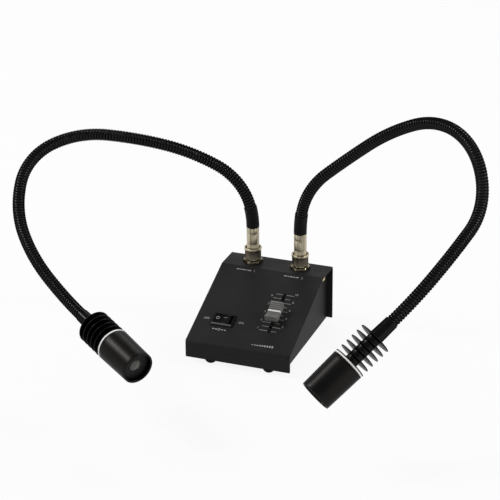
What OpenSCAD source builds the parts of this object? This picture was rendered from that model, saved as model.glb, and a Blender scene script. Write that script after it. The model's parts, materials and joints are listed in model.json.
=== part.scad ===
// Dual gooseneck illuminator: a sloping control box with a rocker switch and a fader,
// and two ribbed arms that end in finned lamp heads. The arms plug into bayonet jacks.
// Origin: centre of the footprint, on the plane that the feet rest on. X right, Y back, Z up.

/* [Housing] */
// Width of the folded cover
cover_w = 88; // [84:1:100]
// Depth from the front lip to the rear wall
cover_d = 106.5; // [98:0.5:120]
// Height of the ledge above the cover's lower edge
cover_h = 47; // [44:1:56]
// Height of the front lip below its fold
lip_h = 14.2; // [12:0.1:18]
// Depth of the level ledge that carries the jacks
ledge_d = 25.1; // [21:0.1:28]
// Thickness of the sheet steel
sheet_t = 1.5; // [1:0.1:2]
// Outer radius of the folds
fold_r = 3; // [2.5:0.1:4]
// How far the side panels stand in from the cover's edges
side_inset = 4.8; // [3:0.1:7]
// Gap between the cover and the chassis inside it
shell_gap = 0.3; // [0.2:0.05:0.5]
// Height of the upturned front and rear edges of the chassis
chassis_edge_h = 8; // [6:0.5:10]

/* [Feet and side screws] */
// Radius of a rubber foot
foot_r = 4.6; // [3.5:0.1:6]
// Height of a foot below the housing
foot_h = 4.3; // [2.5:0.1:5]
// Distance of the feet from the centre line
foot_x = 24.6; // [18:0.1:30]
// Distance of the feet from the front and rear faces
foot_y_in = 6.2; // [6:0.1:20]
// Radius of a side screw's head
screw_head_r = 2.75; // [2.2:0.05:3.2]
// Height of a side screw's head
screw_head_h = 1.9; // [1.2:0.1:2.4]
// Radius of a side screw's thread
screw_r = 1.5; // [1.2:0.05:1.6]
// Distance of a side screw from the rear face
screw_y_in = 11.5; // [8:0.1:14]
// Distance of a side screw below the ledge
screw_down = 6.9; // [6.5:0.1:10]

/* [Jacks] */
// Distance of the jacks from the centre line
jack_x = 20.5; // [18:0.1:26]
// Distance of the jacks from the rear face
jack_y_in = 14.5; // [11:0.1:16]
// Radius of the jack's threaded shank
shank_r = 4.75; // [4.5:0.05:5]
// Length of the shank below the ledge
shank_l = 10; // [9:0.5:12]
// Width of the jack's hexagon across its flats
hex_af = 14.5; // [12.5:0.5:15]
// Angle that the jack's hexagon is turned by
hex_turn = 20; // [0:5:55]
// Height of the jack's hexagon above the ledge
hex_h = 2.8; // [2.4:0.1:3.4]
// Outer radius of the jack's barrel
jack_r = 4.8; // [4.6:0.05:5]
// Length of the jack's barrel above the hexagon
jack_l = 7; // [6.5:0.1:8]
// Radius of a bayonet lug
lug_r = 0.9; // [0.7:0.05:1]

/* [Plugs] */
// Outer radius of the coupling nut's knurled body
nut_r = 6.7; // [6.4:0.05:7.2]
// Outer radius of the coupling nut's open rim
nut_rim_r = 7.1; // [6.8:0.05:7.6]
// Height of the coupling nut
nut_h = 9.6; // [9.2:0.1:10.5]
// Outer radius of the plug's barrel
barrel_r = 5.15; // [5:0.05:5.4]
// Length of the barrel that stands out of the nut
barrel_l = 18; // [14:0.5:24]
// Running gap between pieces that turn on each other
run_gap = 0.2; // [0.15:0.05:0.3]

/* [Arms] */
// Outer radius of the ribbed arm
neck_r = 4.85; // [4.4:0.05:5.1]
// Radius of the bore that carries the lamp lead
bore_r = 2.5; // [1.5:0.1:3]
// Length of one arm segment along its centre line
segment_l = 46; // [42:0.5:52]
// Ribs on one segment
ribs = 19; // [12:1:22]
// Depth of the grooves between ribs
groove = 0.4; // [0.2:0.05:0.6]
// Share of the pitch that a rib takes
rib_share = 0.74; // [0.5:0.02:0.85]
// Gap between a segment's ball and the next socket
ball_gap = 0.3; // [0.25:0.05:0.4]
// Length of the black sleeve over the arm's lower end
sleeve_l = 17.5; // [14:0.5:22]
// Wall of the lower sleeve
sleeve_wall = 0.45; // [0.3:0.05:0.8]
// Bend of the left arm in degrees: the lower sleeve, then eight segments
left_bends = [13, 50, 15, 15, 33, 49, 27.5, 19, 21.5];
// Direction of each left bend, in degrees about the arm
left_turns = [-160, -171, -155, -87, -117, -115, -90, -122, -16];
// Bend of the right arm in degrees: the lower sleeve, then eight segments
right_bends = [13, 39, 5, 16, 42, 42, 41, 12, 12];
// Direction of each right bend, in degrees about the arm
right_turns = [-40, 9, -65, -35, -46, -42, -108, -25, -40];

/* [Lamp heads] */
// Outer radius of the lamp barrel
lamp_r = 13.3; // [12:0.1:15]
// Outer radius of the lamp barrel at its front rim
lamp_front_r = 12.6; // [11.8:0.1:15]
// Wall of the lamp barrel
lamp_wall = 2.4; // [1.8:0.1:3]
// Length of the lamp barrel
lamp_l = 32.6; // [28:0.2:40]
// How far the front face is set into the barrel
recess = 3.7; // [2:0.1:5]
// Radius of the cooling fins
fin_r = 13.3; // [11.5:0.1:14.5]
// Number of cooling fins
fins = 5; // [3:1:7]
// Distance from one fin to the next
fin_pitch = 5.05; // [4:0.05:6]
// Fin thickness at its root
fin_root_t = 1.5; // [1.2:0.1:2]
// Fin thickness at its edge
fin_edge_t = 0.8; // [0.6:0.1:1]
// Radius of the core that carries the fins
core_r = 5.3; // [5:0.1:7]
// Radius of the mounting flange in front of the fins
flange_r = 13.4; // [12.2:0.1:15]
// Thickness of the mounting flange
flange_t = 0.8; // [0.6:0.1:1.5]
// Thickness of the white spacer ring
ring_t = 1.4; // [0.8:0.1:2]
// Length of the spigot that the lamp barrel slides over
spigot_l = 3.4; // [2.6:0.1:5]
// Length of the sleeve behind the fins
lamp_sleeve_l = 17; // [12:0.5:22]
// Radius of that sleeve next to the fins
lamp_sleeve_r = 5.7; // [5.3:0.05:6.5]
// Radius of the lens
lens_r = 4.7; // [3.5:0.1:6]
// Side of the light-emitting chip
chip_w = 3.5; // [2:0.1:4.5]
// Thickness of the lamp's circuit board
lamp_board_t = 1.6; // [1:0.1:2]

/* [Switch] */
// Width of the switch's bezel
bezel_w = 18.6; // [17:0.1:21]
// Length of the bezel along the slope
bezel_l = 12.8; // [12:0.1:14]
// Height of the bezel above the cover
bezel_h = 1.6; // [0.8:0.1:2]
// Width of the bezel's frame
bezel_frame = 1.8; // [1.1:0.1:2]
// Switch centre, left of the centre line
switch_x = 20.7; // [18:0.1:24]
// Switch centre, up the slope from the lip's fold
switch_s = 26.8; // [20:0.1:34]
// Depth of the switch housing below the cover
switch_depth = 12; // [10:0.5:14]
// Tilt of the rocker to either side
rocker_tilt = 8; // [6:0.5:10]

/* [Fader] */
// Fader centre line, right of the housing's centre line
fader_x = 19.2; // [16:0.1:24]
// Lowest place of the fader lever, up the slope from the lip's fold
fader_s = 23.1; // [20:0.1:26]
// Travel of the fader
fader_travel = 40; // [30:1:42]
// Where the lever stands in its travel
fader_at = 15.6; // [0:0.1:40]
// Width of the slot in the cover
slot_w = 2.2; // [2:0.1:3]
// Length of the fader lever along the slot
lever_l = 2.4; // [2:0.1:4]
// Thickness of the fader lever
lever_t = 1.2; // [1:0.1:1.4]
// Length of the fader cap at its foot
cap_l = 17.2; // [14:0.2:20]
// Width of the fader cap at its foot
cap_w = 10.8; // [9:0.1:12]
// Height of the fader cap
cap_h = 9.5; // [7:0.1:12]
// Depth of the finger hollow in the cap
cap_dip = 2.1; // [1:0.1:2.5]

/* [Circuit board] */
// Width of the circuit board
board_w = 40; // [36:1:40]
// Length of the circuit board along the slope
board_l = 66; // [64:1:70]
// Thickness of the circuit board
board_t = 1.6; // [1:0.1:2]
// Height of the standoffs under the cover
standoff_h = 8; // [7.5:0.1:9]
// Radius of a standoff
standoff_r = 2.5; // [2:0.1:3]

/* [Power inlet] */
// Distance of the power inlet from the centre line
inlet_x = 24; // [18:0.5:28]
// Height of the power inlet above the cover's lower edge
inlet_up = 17; // [15:0.5:22]
// Radius of the inlet's thread
inlet_r = 3.95; // [3.8:0.05:4.4]
// Radius of the inlet's socket
socket_r = 2.8; // [2.6:0.05:3]
// Length of the inlet behind the wall
inlet_l = 13; // [11:0.5:16]

/* [Hidden] */
$fn = 64;
eps = 0.01;
fit_gap = 0.05;
SIDES = ["left", "right"];
SEGMENTS = 8;
function sgn(side) = side == "left" ? -1 : 1;
function bends(side) = side == "left" ? left_bends : right_bends;
function turns(side) = side == "left" ? left_turns : right_turns;

// Housing planes
y_front = -cover_d / 2;
y_rear = cover_d / 2;
z_low = foot_h;
z_lip = foot_h + lip_h;
z_top = foot_h + cover_h;
y_ledge = y_rear - ledge_d;
slope_a = atan2(cover_h - lip_h, cover_d - ledge_d);
side_x = cover_w / 2 - side_inset;

// Jack and plug levels
jack_y = y_rear - jack_y_in;
z_hex = z_top + hex_h;
z_jack = z_hex + jack_l;
nut_gap = 1.2;
z_nut = z_hex + nut_gap;
z_rim = z_nut + nut_h;
z_barrel = z_rim + barrel_l;
shoulder_t = 0.8;
z_shoulder = z_jack + 0.4;
neck_chamber_r = barrel_r + 0.55;
lug_reach = jack_r + 0.7;
lug_z = z_hex + 4.4;

// Lamp head stations, measured forward from the rear fin's centre plane
flange_z = fins * fin_pitch + fin_edge_t / 2;
ring_z = flange_z - fit_gap;
lamp_z = flange_z + ring_t;
spigot_z = lamp_z + spigot_l;
front_z = lamp_z + lamp_l;
face_z = front_z - recess;
lamp_bore_r = lamp_r - lamp_wall;
fin_back = fin_root_t / 2;

// Circuit board plane, measured along the slope's normal
board_top = -sheet_t - standoff_h;
board_x = side_x - sheet_t - 1 - board_w / 2;
board_s = fader_s + fader_travel / 2;
boss_in = 4;
fader_can_h = 6.5;
fader_can_w = 9;
fader_can_l = fader_travel + 15;
lever_s = fader_s + fader_at;
cap_lift = 4.2;
lever_in = 2.4;

// Places a child on the slope: X across, Y up the slope from the lip's fold, Z outward
module on_slope(x = 0, s = 0, h = 0) {
    translate([0, y_front, z_lip])
        rotate([slope_a, 0, 0])
            translate([x, s, h])
                children();
}

// Turns a side view (Y, Z) into a solid across the housing
module across(w) {
    rotate([90, 0, 90])
        translate([0, 0, -w / 2])
            linear_extrude(w)
                children();
}

// Side view of the housing, drawn in by a distance, with its three folds rounded
module housing_outline(off, drop = 0) {
    r = fold_r - off;
    up = [-sin(slope_a), cos(slope_a)];
    lip_c = [y_front + fold_r, z_lip - fold_r * (1 - sin(slope_a)) / cos(slope_a)];
    mid_c = [y_ledge + fold_r * tan(slope_a / 2), z_top - fold_r];
    rear_c = [y_rear - fold_r, z_top - fold_r];
    polygon([
        [y_front + off, z_low - drop], [y_front + off, lip_c[1]],
        lip_c + r * up, mid_c + r * up, mid_c + [0, r], rear_c + [0, r],
        rear_c + [r, 0], [y_rear - off, z_low - drop]]);
    for (c = [lip_c, mid_c, rear_c])
        translate(c)
            circle(r);
}

module at_jack(side, z = 0) {
    translate([sgn(side) * jack_x, jack_y, z])
        children();
}

module at_inlet() {
    translate([-inlet_x, y_rear, z_low + inlet_up])
        rotate([-90, 0, 0])
            children();
}

module at_side_screw(side) {
    translate([sgn(side) * side_x, y_rear - screw_y_in, z_top - screw_down])
        rotate([0, sgn(side) * 90, 0])
            children();
}

// Tab inside a side panel that takes the side screw, hung from the ledge
tab_w = 11;
tab_low = z_top - screw_down - 5;
module cover_tab(side) {
    difference() {
        translate([sgn(side) * (side_x - sheet_t - shell_gap - sheet_t / 2), y_rear - screw_y_in,
                   (tab_low + z_top - sheet_t) / 2 + eps])
            cube([sheet_t, tab_w, z_top - sheet_t - tab_low + 2 * eps], center = true);
        at_side_screw(side)
            cylinder(r = screw_r + fit_gap, h = 20, center = true);
    }
}

module cover() {
    color("#2e2c2e") {
        difference() {
            across(cover_w)
                difference() {
                    housing_outline(0);
                    housing_outline(sheet_t, 1);
                }
            for (side = SIDES)
                at_jack(side, z_top - sheet_t - 1)
                    cylinder(r = shank_r + fit_gap, h = sheet_t + 2);
            on_slope(-switch_x, switch_s, -sheet_t / 2)
                cube([bezel_w - 1.6, bezel_l - 1.6, 2 * sheet_t + 2], center = true);
            hull()
                for (s = [-1, 1])
                    on_slope(fader_x, fader_s + fader_travel / 2, -sheet_t / 2)
                        translate([0, s * (fader_travel + lever_l - slot_w) / 2 + s * 0.4, 0])
                            cylinder(d = slot_w, h = 2 * sheet_t + 2, center = true, $fn = 32);
            at_inlet()
                cylinder(r = inlet_r + fit_gap, h = 4 * sheet_t, center = true);
        }
        for (side = SIDES)
            cover_tab(side);
    }
}

module chassis() {
    inner = sheet_t + shell_gap;
    color("#3c3834") {
        translate([-side_x, y_front + inner, z_low])
            cube([2 * side_x, cover_d - 2 * inner, sheet_t]);
        for (y = [y_front + inner, y_rear - inner - sheet_t])
            translate([-side_x, y, z_low])
                cube([2 * side_x, sheet_t, chassis_edge_h]);
        for (side = SIDES)
            difference() {
                translate([sgn(side) * (side_x - sheet_t / 2), 0, 0])
                    across(sheet_t)
                        housing_outline(inner);
                at_side_screw(side)
                    cylinder(r = screw_r + shell_gap, h = 20, center = true);
            }
    }
}

module side_screws() {
    color("#b7a983")
        for (side = SIDES)
            at_side_screw(side) {
                difference() {
                    scale(1)
                        intersection() {
                            cylinder(r = screw_head_r, h = screw_head_h);
                            translate([0, 0, screw_head_h - 3.2])
                                sphere(r = 3.2 + eps);
                        }
                    translate([0, 0, screw_head_h])
                        for (a = [0, 90])
                            rotate(a)
                                cube([3, 0.6, 1.4], center = true);
                }
                translate([0, 0, -2 * sheet_t - shell_gap - 1])
                    cylinder(r = screw_r, h = 2 * sheet_t + shell_gap + 1 + eps);
            }
}

module feet() {
    dome_r = 5.4;
    color("#161616")
        for (x = [-foot_x, foot_x])
            for (y = [y_front + foot_y_in, y_rear - foot_y_in])
                translate([x, y, 0])
                    intersection() {
                        cylinder(r = foot_r, h = foot_h);
                        translate([0, 0, dome_r - 0.8])
                            sphere(r = dome_r);
                    }
}

module jack(side) {
    color("#b9ad92")
        at_jack(side) {
            difference() {
                union() {
                    translate([0, 0, z_top - sheet_t - shank_l])
                        cylinder(r = shank_r, h = shank_l + sheet_t + eps);
                    translate([0, 0, z_top])
                        intersection() {
                            rotate(hex_turn)
                                cylinder(d = hex_af / cos(30), h = hex_h, $fn = 6);
                            cylinder(r1 = hex_af / 2 + 1.8, r2 = hex_af / 2 + 0.4, h = hex_h);
                        }
                    cylinder_between(jack_r, z_hex - eps, z_jack);
                    for (a = [0, 180])
                        rotate([0, 90, a])
                            translate([-lug_z, 0, 0])
                                cylinder(r = lug_r, h = lug_reach);
                }
                cylinder_between(jack_r - 0.6, z_hex - 1, z_jack + 1);
                cylinder_between(insulator_r, z_top - sheet_t - shank_l - 1, z_jack);
            }
        }
}

insulator_r = 2.9;
contact_r = 1.15;
socket_bore_r = 0.9;
pin_r = 0.65;

module cylinder_between(r, low, high) {
    translate([0, 0, low])
        cylinder(r = r, h = high - low);
}

module jack_nuts() {
    nut_t = 2.2;
    color("#b9ad92")
        for (side = SIDES)
            at_jack(side, z_top - sheet_t - washer_t - nut_t)
                difference() {
                    cylinder(d = (hex_af - 1) / cos(30), h = nut_t, $fn = 6);
                    translate([0, 0, -1])
                        cylinder(r = shank_r + fit_gap, h = nut_t + 2);
                }
}

washer_t = 0.7;

module lock_washers() {
    color("#a79d88")
        for (side = SIDES)
            at_jack(side, z_top - sheet_t - washer_t)
                difference() {
                    union() {
                        cylinder(r = hex_af / 2 - 0.2, h = washer_t);
                        translate([0, -2, 0])
                            cube([hex_af / 2 + 4, 4, washer_t]);
                    }
                    translate([0, 0, -1])
                        cylinder(r = shank_r + fit_gap, h = washer_t + 2);
                }
}

module jack_insulators() {
    color("#f0efe8")
        for (side = SIDES)
            at_jack(side)
                difference() {
                    cylinder_between(insulator_r - fit_gap, z_top - sheet_t - shank_l - 0.6, z_hex + 1.4);
                    cylinder_between(contact_r + fit_gap, z_top - sheet_t - shank_l - 2, z_jack);
                }
}

module jack_contacts() {
    color("#c9a85a")
        for (side = SIDES)
            at_jack(side)
                difference() {
                    cylinder_between(contact_r, z_top - sheet_t - shank_l - 4.5, z_hex + 4.2);
                    cylinder_between(socket_bore_r, z_hex - 2, z_jack);
                }
}

// Bayonet nut: a knurled body with an open rim, grooved inside for the jack's lugs
module coupling_nut(side) {
    lug_gap = 0.25;
    sweep = 80;
    inner = jack_r + run_gap;
    track_r = lug_reach + lug_gap;
    color("#b9ad92")
        at_jack(side)
            difference() {
                rotate_extrude()
                    polygon([
                        [inner, z_nut], [nut_r - 0.3, z_nut], [nut_r, z_nut + 0.3],
                        [nut_r, z_rim - 2.4], [nut_rim_r, z_rim - 1.6], [nut_rim_r, z_rim - 0.2],
                        [nut_rim_r - 0.2, z_rim], [nut_rim_r - 0.6, z_rim],
                        [barrel_r + run_gap, z_rim - 1.6], [barrel_r + run_gap, z_shoulder + shoulder_t + run_gap],
                        [neck_chamber_r, z_shoulder + shoulder_t + run_gap], [neck_chamber_r, z_shoulder - run_gap],
                        [inner, z_shoulder - run_gap]]);
                for (a = [0, 180])
                    rotate(a) {
                        translate([0, 0, lug_z - lug_r - lug_gap])
                            rotate(-asin((lug_r + lug_gap) / track_r))
                                rotate_extrude(angle = sweep + 2 * asin((lug_r + lug_gap) / track_r))
                                    square([track_r, 2 * (lug_r + lug_gap)]);
                        rotate(sweep)
                            translate([0, -lug_r - lug_gap, z_nut - 1])
                                cube([track_r - 0.1, 2 * (lug_r + lug_gap), lug_z - z_nut + 1 + lug_r]);
                    }
            }
}

module plug_barrel(side) {
    tube_r = jack_r - 0.6 - 0.35;
    knurl = 0.15;
    color("#b9ad92")
        at_jack(side)
            difference() {
                rotate_extrude()
                    polygon([
                        [insulator_r, z_hex + 2.6], [tube_r, z_hex + 2.6], [tube_r, z_shoulder],
                        [neck_chamber_r - run_gap, z_shoulder],
                        [neck_chamber_r - run_gap, z_shoulder + shoulder_t],
                        [barrel_r, z_shoulder + shoulder_t],
                        [barrel_r, z_rim + 3], [barrel_r - knurl, z_rim + 3 + knurl],
                        [barrel_r - knurl, z_rim + 4 - knurl], [barrel_r, z_rim + 4],
                        [barrel_r, z_barrel - 6], [barrel_r - knurl, z_barrel - 6 + knurl],
                        [barrel_r - knurl, z_barrel - 5 - knurl], [barrel_r, z_barrel - 5],
                        [barrel_r, z_barrel - 0.4], [barrel_r - 0.4, z_barrel],
                        [insulator_r, z_barrel]]);
                cylinder_between(bore_r, z_shoulder, z_barrel + 1);
            }
}

// Centre pin of the plug in its white insulator
module plug_contact(side) {
    at_jack(side) {
        color("#f0efe8")
            difference() {
                cylinder_between(insulator_r - fit_gap, z_hex + 4.6, z_rim + 2);
                cylinder_between(pin_r + fit_gap, z_hex + 4, z_rim + 3);
            }
        color("#c9a85a")
            cylinder_between(pin_r, z_hex - 1, z_rim + 6);
    }
}

// Steps along a circular arc of the arm: length, bend and direction of the bend
module arc_step(length, bend, turn) {
    r = length / (bend * PI / 180);
    rotate(turn)
        translate([r * (1 - cos(bend)), 0, r * sin(bend)])
            rotate([0, bend, 0])
                rotate(-turn)
                    children();
}

function arc_l(i) = i == 0 ? sleeve_l : segment_l;

// Frame at the start of piece i of an arm: 0 is the lower sleeve, 9 the lamp's sleeve
module along_arm(side, i) {
    if (i == 0)
        at_jack(side, z_barrel)
            children();
    else
        along_arm(side, i - 1)
            arc_step(arc_l(i - 1), bends(side)[i - 1], turns(side)[i - 1])
                children();
}

// Bends a flat profile along piece i of an arm, from share a to share b
module bent(side, i, a, b) {
    bend = bends(side)[i];
    bend_r = arc_l(i) / (bend * PI / 180);
    rotate(turns(side)[i])
        translate([bend_r, 0, 0])
            mirror([1, 0, 0])
                rotate([90, 0, 0])
                    rotate(a * bend)
                        rotate_extrude(angle = (b - a) * bend)
                            translate([bend_r, 0])
                                children();
}

module bent_bar(side, i, r, a = 0, b = 1) {
    bent(side, i, a, b)
        circle(r);
}

module ring(r, hole) {
    difference() {
        circle(r);
        circle(hole);
    }
}

// Stubs carry an arm's ends into the sleeves
stub_r = neck_r - groove - 0.15;
stub_bore_r = bore_r + 0.4;
stub_in = 1.4;

// Ball at the start of a segment, bored for the lead
ball_r = neck_r - 0.1;
module ball() {
    rotate_extrude()
        intersection() {
            circle(ball_r);
            translate([bore_r + 0.2, -2 * ball_r])
                square(2 * ball_r);
        }
}

// One segment of a ribbed arm: a ball at its start, ribs, and a socket at its end
module neck(side, i) {
    last = i < SEGMENTS ? ribs - 2 : ribs - 1;
    color("#1a1a1c") {
        if (i == 1)
            along_arm(side, 0)
                bent(side, 0, 0.1, 1 + stub_in / sleeve_l)
                    ring(stub_r, stub_bore_r);
        along_arm(side, i) {
            difference() {
                union() {
                    bent_bar(side, i, neck_r - groove);
                    for (k = [0 : last])
                        bent_bar(side, i, neck_r, k / ribs, (k + rib_share) / ribs);
                }
                bent_bar(side, i, bore_r);
                if (i < SEGMENTS)
                    arc_step(segment_l, bends(side)[i], turns(side)[i])
                        sphere(r = ball_r + ball_gap);
            }
            if (i > 1)
                ball();
        }
        if (i == SEGMENTS)
            along_arm(side, SEGMENTS + 1)
                translate([0, 0, -stub_in])
                    linear_extrude(lamp_sleeve_l - fin_back + stub_in)
                        ring(stub_r, stub_bore_r);
    }
}

module neck_sleeve(side) {
    color("#141414")
        along_arm(side, 0)
            bent(side, 0, 0, 1)
                ring(neck_r + sleeve_wall, stub_r + fit_gap);
}

// Places a child on a lamp's axis, from the rear fin's centre plane forward
module at_lamp(side, z = 0) {
    along_arm(side, SEGMENTS + 1)
        translate([0, 0, lamp_sleeve_l + z])
            children();
}

module lamp_sleeve(side) {
    color("#141414")
        at_lamp(side, -lamp_sleeve_l)
            difference() {
                cylinder(r1 = neck_r + sleeve_wall, r2 = lamp_sleeve_r, h = lamp_sleeve_l - fin_back);
                translate([0, 0, -1])
                    cylinder(r = stub_r + fit_gap, h = lamp_sleeve_l + 2);
            }
}

module heat_sink(side) {
    lead_r = 1.5;
    color("#1d1d1f")
        at_lamp(side)
            difference() {
                union() {
                    translate([0, 0, -fin_back])
                        cylinder(r = core_r, h = flange_z + fin_back);
                    for (k = [0 : fins - 1])
                        translate([0, 0, k * fin_pitch])
                            fin();
                    translate([0, 0, flange_z - flange_t])
                        cylinder(r = flange_r, h = flange_t);
                    cylinder_between(lamp_bore_r - fit_gap, flange_z - eps, spigot_z);
                }
                cylinder_between(lead_r, -fin_back - 1, spigot_z + 1);
            }
}

// Cooling fin: thick at its root, thin and rounded at its edge
module fin() {
    edge = fin_edge_t / 2;
    rotate_extrude() {
        polygon([
            [core_r - 1, -fin_root_t / 2], [core_r, -fin_root_t / 2], [fin_r - edge, -edge],
            [fin_r - edge, edge], [core_r, fin_root_t / 2], [core_r - 1, fin_root_t / 2]]);
        translate([fin_r - edge, 0])
            circle(edge, $fn = 24);
    }
}

module spacer_ring(side) {
    color("#f2f1ee")
        at_lamp(side)
            difference() {
                cylinder_between(lamp_r, flange_z, lamp_z);
                cylinder_between(lamp_bore_r, flange_z - 1, lamp_z + 1);
            }
}

module lamp_barrel(side) {
    rim = 0.5;
    color("#1b1a1b")
        at_lamp(side)
            rotate_extrude()
                polygon([
                    [lamp_bore_r, lamp_z], [lamp_r, lamp_z], [lamp_front_r, front_z - rim],
                    [lamp_front_r - rim, front_z], [lamp_bore_r + rim, front_z],
                    [lamp_bore_r, front_z - rim]]);
}

// Black light tunnel behind the front face
module reflector(side) {
    board_front = spigot_z + lamp_board_t;
    color("#1f1f20")
        at_lamp(side)
            rotate_extrude()
                polygon([
                    [chip_w, board_front], [lamp_bore_r - fit_gap, board_front],
                    [lamp_bore_r - fit_gap, face_z], [lens_r + fit_gap, face_z],
                    [lens_r + fit_gap, face_z - 2], [lens_r - 0.6, face_z - 2]]);
}

module lens(side) {
    dome_r = 9;
    color("#8e8e8a")
        at_lamp(side)
            intersection() {
                cylinder_between(lens_r, face_z - 2, face_z + 2);
                translate([0, 0, face_z + 0.9 - dome_r])
                    sphere(r = dome_r);
            }
}

// Round circuit board with the light-emitting chip under its dome
module lamp_board(side) {
    at_lamp(side, spigot_z) {
        color("#dcdcd6")
            cylinder(r = lamp_bore_r - 0.5, h = lamp_board_t);
        color("#e6d27a") {
            translate([0, 0, lamp_board_t + 0.4])
                cube([chip_w, chip_w, 0.8], center = true);
            translate([0, 0, lamp_board_t + 0.8])
                intersection() {
                    sphere(r = 1.4);
                    cylinder(r = 2, h = 2);
                }
        }
    }
}

module switch_housing() {
    opening_w = bezel_w - 2 * bezel_frame;
    opening_l = bezel_l - 2 * bezel_frame;
    color("#101011")
        on_slope(-switch_x, switch_s) {
            difference() {
                union() {
                    linear_extrude(bezel_h)
                        square([bezel_w, bezel_l], center = true);
                    translate([0, 0, -switch_depth])
                        linear_extrude(switch_depth + eps)
                            square([bezel_w - 1.6 - 2 * shell_gap, bezel_l - 1.6 - 2 * shell_gap], center = true);
                }
                translate([0, 0, -rocker_depth])
                    linear_extrude(20)
                        square([opening_w, opening_l], center = true);
            }
            // Pin that the rocker turns on
            translate([0, 0, pivot_h])
                rotate([90, 0, 0])
                    cylinder(r = pivot_r, h = opening_l + 0.6, center = true);
        }
}

rocker_depth = 7;
pivot_h = -2.6;

// The rocker's top is a shallow valley; its off side is pressed down at rest
module rocker() {
    half_w = bezel_w / 2 - bezel_frame - shell_gap - 0.4;
    length = bezel_l - 2 * bezel_frame - 2 * shell_gap;
    peak = bezel_h + 0.6 - pivot_h;
    valley = peak - half_w * tan(rocker_tilt);
    color("#131314")
        on_slope(-switch_x, switch_s, pivot_h)
            rotate([0, -rocker_tilt, 0])
                rotate([90, 0, 0])
                    linear_extrude(length, center = true)
                        difference() {
                            polygon([
                                [-half_w, peak], [0, valley], [half_w, peak], [half_w, 0.6],
                                [2.4, -2.4], [-2.4, -2.4], [-half_w, 0.6]]);
                            circle(pivot_r + run_gap);
                        }
}

pivot_r = 1;

module switch_terminals() {
    blade = [0.8, 4.8, 8];
    color("#c3b27c")
        for (x = [-4, 4])
            on_slope(-switch_x + x, switch_s, -switch_depth - blade[2] / 2 - 2 * eps)
                cube(blade, center = true);
}

module fader_case() {
    wall = 0.6;
    color("#9a9a96")
        on_slope(fader_x, board_s, board_top + fader_can_h / 2)
            difference() {
                cube([fader_can_w, fader_can_l, fader_can_h], center = true);
                translate([0, 0, wall])
                    cube([fader_can_w - 2 * wall, fader_can_l - 2 * wall, fader_can_h], center = true);
            }
}

// Lever that slides in the fader's case: a carriage and a flat tongue through the slot
module fader_lever() {
    carriage_h = 3;
    color("#d8d8d2")
        on_slope(fader_x, lever_s) {
            translate([0, 0, board_top + 1 + carriage_h / 2])
                cube([fader_can_w - 2, 8, carriage_h], center = true);
            translate([-lever_t / 2, -lever_l / 2, board_top + carriage_h])
                cube([lever_t, lever_l, -board_top - carriage_h + cap_lift + lever_in]);
        }
}

// Cap with leaning sides and a ribbed finger hollow across its top
module fader_cap() {
    foot = [cap_w, cap_l];
    lean = 0.3;
    hollow_r = ((cap_l / 2 - 0.6) * (cap_l / 2 - 0.6) + cap_dip * cap_dip) / (2 * cap_dip);
    color("#8b8b88")
        on_slope(fader_x, lever_s, cap_lift)
            difference() {
                hull() {
                    translate([0, 0, 0.2])
                        cube([foot[0], foot[1], 0.4], center = true);
                    translate([0, 0, cap_h - cap_lift - 0.05])
                        cube([foot[0] - 2 * lean, foot[1] - 2 * lean, 0.1], center = true);
                }
                translate([0, 0, cap_h - cap_lift - cap_dip + hollow_r])
                    rotate([0, 90, 0])
                        cylinder(r = hollow_r, h = 2 * cap_w, center = true, $fn = 128);
                translate([0, 0, lever_in / 2 - 0.5])
                    cube([lever_t + 2 * fit_gap, lever_l + 2 * fit_gap, lever_in + 1 + 2 * fit_gap], center = true);
            }
}

module board_corners() {
    for (x = [-1, 1])
        for (y = [-1, 1])
            translate([x * (board_w / 2 - boss_in), y * (board_l / 2 - boss_in), 0])
                children();
}

module circuit_board() {
    color("#2d5a3a")
        on_slope(board_x, board_s, board_top - board_t)
            difference() {
                translate([-board_w / 2, -board_l / 2, 0])
                    cube([board_w, board_l, board_t]);
                board_corners()
                    cylinder(r = screw_r + 0.1, h = 3 * board_t, center = true);
            }
}

module standoffs() {
    color("#b8b8b4")
        on_slope(board_x, board_s, board_top)
            board_corners()
                difference() {
                    cylinder(r = standoff_r, h = standoff_h);
                    translate([0, 0, -1])
                        cylinder(r = screw_r - 0.2, h = 6);
                }
}

module board_screws() {
    color("#a9a9a4")
        on_slope(board_x, board_s, board_top - board_t)
            board_corners() {
                translate([0, 0, -1.8])
                    cylinder(r = screw_head_r, h = 1.8);
                translate([0, 0, -eps])
                    cylinder(r = screw_r - 0.25, h = board_t + 4);
            }
}

module power_inlet() {
    flange_w = 1.6;
    color("#121213")
        at_inlet()
            difference() {
                union() {
                    cylinder(r = inlet_r + 1.6, h = flange_w);
                    cylinder_between(inlet_r, -inlet_l, eps);
                }
                cylinder_between(socket_r, -9.5, flange_w + 1);
            }
}

module inlet_nut() {
    color("#b8b8b4")
        at_inlet()
            difference() {
                translate([0, 0, -sheet_t - 2])
                    cylinder(d = 10.5 / cos(30), h = 2, $fn = 6);
                cylinder_between(inlet_r + fit_gap, -sheet_t - 3, 0);
            }
}

module inlet_pin() {
    color("#c9a85a")
        at_inlet() {
            cylinder_between(1.05, -9.5, -1);
            for (x = [-2, 2])
                translate([x, 0, -inlet_l - 2])
                    cube([1.6, 0.4, 4], center = true);
        }
}

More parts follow.
